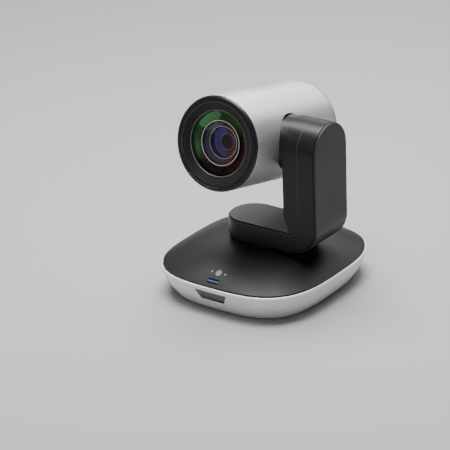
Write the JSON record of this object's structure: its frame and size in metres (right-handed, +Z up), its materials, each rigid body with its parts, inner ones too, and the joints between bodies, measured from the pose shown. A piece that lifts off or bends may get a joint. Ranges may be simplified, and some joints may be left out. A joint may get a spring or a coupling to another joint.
{
  "type": "ptz camera",
  "caption": "Desktop pan, tilt and zoom camera: a round barrel head on a side arm over a low rounded-square base with tripod thread.",
  "frame": {"origin": "middle of the base at the level of its rubber feet, on the pan axis", "axes": "+Z up along the pan axis; the lens looks towards -Y in the stored pose; +X towards the arm that carries the head; the tilt axis is parallel to X"},
  "size_m": [0.1284, 0.136, 0.1536],
  "materials": {
    "silver_plastic": "satin silver paint",
    "silver_tube": "fine satin silver",
    "black_plastic": "fine satin texture",
    "dark_cap": "soft satin",
    "gloss_black": "polished, dark tinted",
    "blue_light": "lit light pipe",
    "rubber": "matte",
    "brass": "turned",
    "steel": "zinc plated",
    "white_gear": "moulded acetal",
    "aluminium": "machined",
    "circuit_board": "solder resist",
    "chip_black": "moulded epoxy",
    "lens_ring": "black with a bright front edge",
    "lens_glass": "coated optical glass"
  },
  "bodies": {
    "base": {"base_bowl": "silver_plastic", "base_top_cover": "black_plastic", "base_chassis": "black_plastic", "bottom_plate": "black_plastic", "rubber_feet": "rubber", "tripod_bush": "brass", "bottom_screws": "steel", "ir_window": "gloss_black", "front_board": "circuit_board", "ir_receiver": "gloss_black", "led_bezel": "gloss_black", "led_light_pipe": "blue_light", "main_board": "circuit_board", "board_chips": "chip_black", "usb_port": "steel", "control_port": "chip_black", "power_jack": "chip_black", "rear_port_panel": "black_plastic", "pan_motor": "steel", "pan_bearing": "brass"},
    "pan_drive": {"pan_motor_shaft": "steel", "pan_pinion": "brass"},
    "arm": {"turntable": "aluminium", "pan_gear": "white_gear", "pan_circlip": "steel", "arm_frame": "steel", "frame_screws": "steel", "arm_outer_shell": "black_plastic", "arm_inner_cover": "black_plastic", "arm_cap_plate": "dark_cap", "arm_board": "circuit_board", "tilt_motor": "steel", "tilt_bearing": "brass"},
    "tilt_drive": {"tilt_motor_shaft": "steel", "tilt_pinion": "brass"},
    "head": {"tilt_hub": "black_plastic", "tilt_gear": "white_gear", "tilt_circlip": "steel", "head_frame": "steel", "barrel_tube": "silver_tube", "rear_cap": "black_plastic", "front_bezel": "black_plastic", "front_lens": "lens_glass", "lens_barrel": "black_plastic", "lens_rings": "lens_ring", "inner_lens_front": "lens_glass", "inner_lens_rear": "lens_glass", "iris_diaphragm": "chip_black", "guide_rods": "steel", "zoom_stator": "steel", "focus_stator": "steel", "sensor_board": "circuit_board", "image_sensor": "chip_black", "processor_board": "circuit_board", "heat_sink": "aluminium"},
    "zoom_group": {"zoom_carrier": "black_plastic", "zoom_lens": "lens_glass"},
    "focus_group": {"focus_carrier": "black_plastic", "focus_lens": "lens_glass"}
  },
  "joints": [
    {"name": "pan", "type": "hinge", "parent": "base", "child": "arm", "pos_m": [0, 0, 0.03], "axis": [0, 0, 1], "range_deg": [-130, 130]},
    {"name": "tilt", "type": "hinge", "parent": "arm", "child": "head", "pos_m": [0.0312, 0, 0.1126], "axis": [-1, 0, 0], "range_deg": [-102, 24]},
    {"name": "pan_pinion_spin", "type": "hinge", "parent": "base", "child": "pan_drive", "pos_m": [-0.02036, -0.02036, 0.024], "axis": [0, 0, 1], "range_deg": [-655, 655]},
    {"name": "tilt_pinion_spin", "type": "hinge", "parent": "arm", "child": "tilt_drive", "pos_m": [0.0375, 0, 0.0946], "axis": [-1, 0, 0], "range_deg": [-100, 412]},
    {"name": "zoom_slide", "type": "slide", "parent": "head", "child": "zoom_group", "axis": [0, -0.9781, 0.2079], "range_m": [-0.012, 0.006]},
    {"name": "focus_slide", "type": "slide", "parent": "head", "child": "focus_group", "axis": [0, -0.9781, 0.2079], "range_m": [-0.006, 0.006]}
  ],
  "couplings": [
    {"joint": "pan_pinion_spin", "follows": "pan", "ratio": -5},
    {"joint": "tilt_pinion_spin", "follows": "tilt", "ratio": -4}
  ]
}
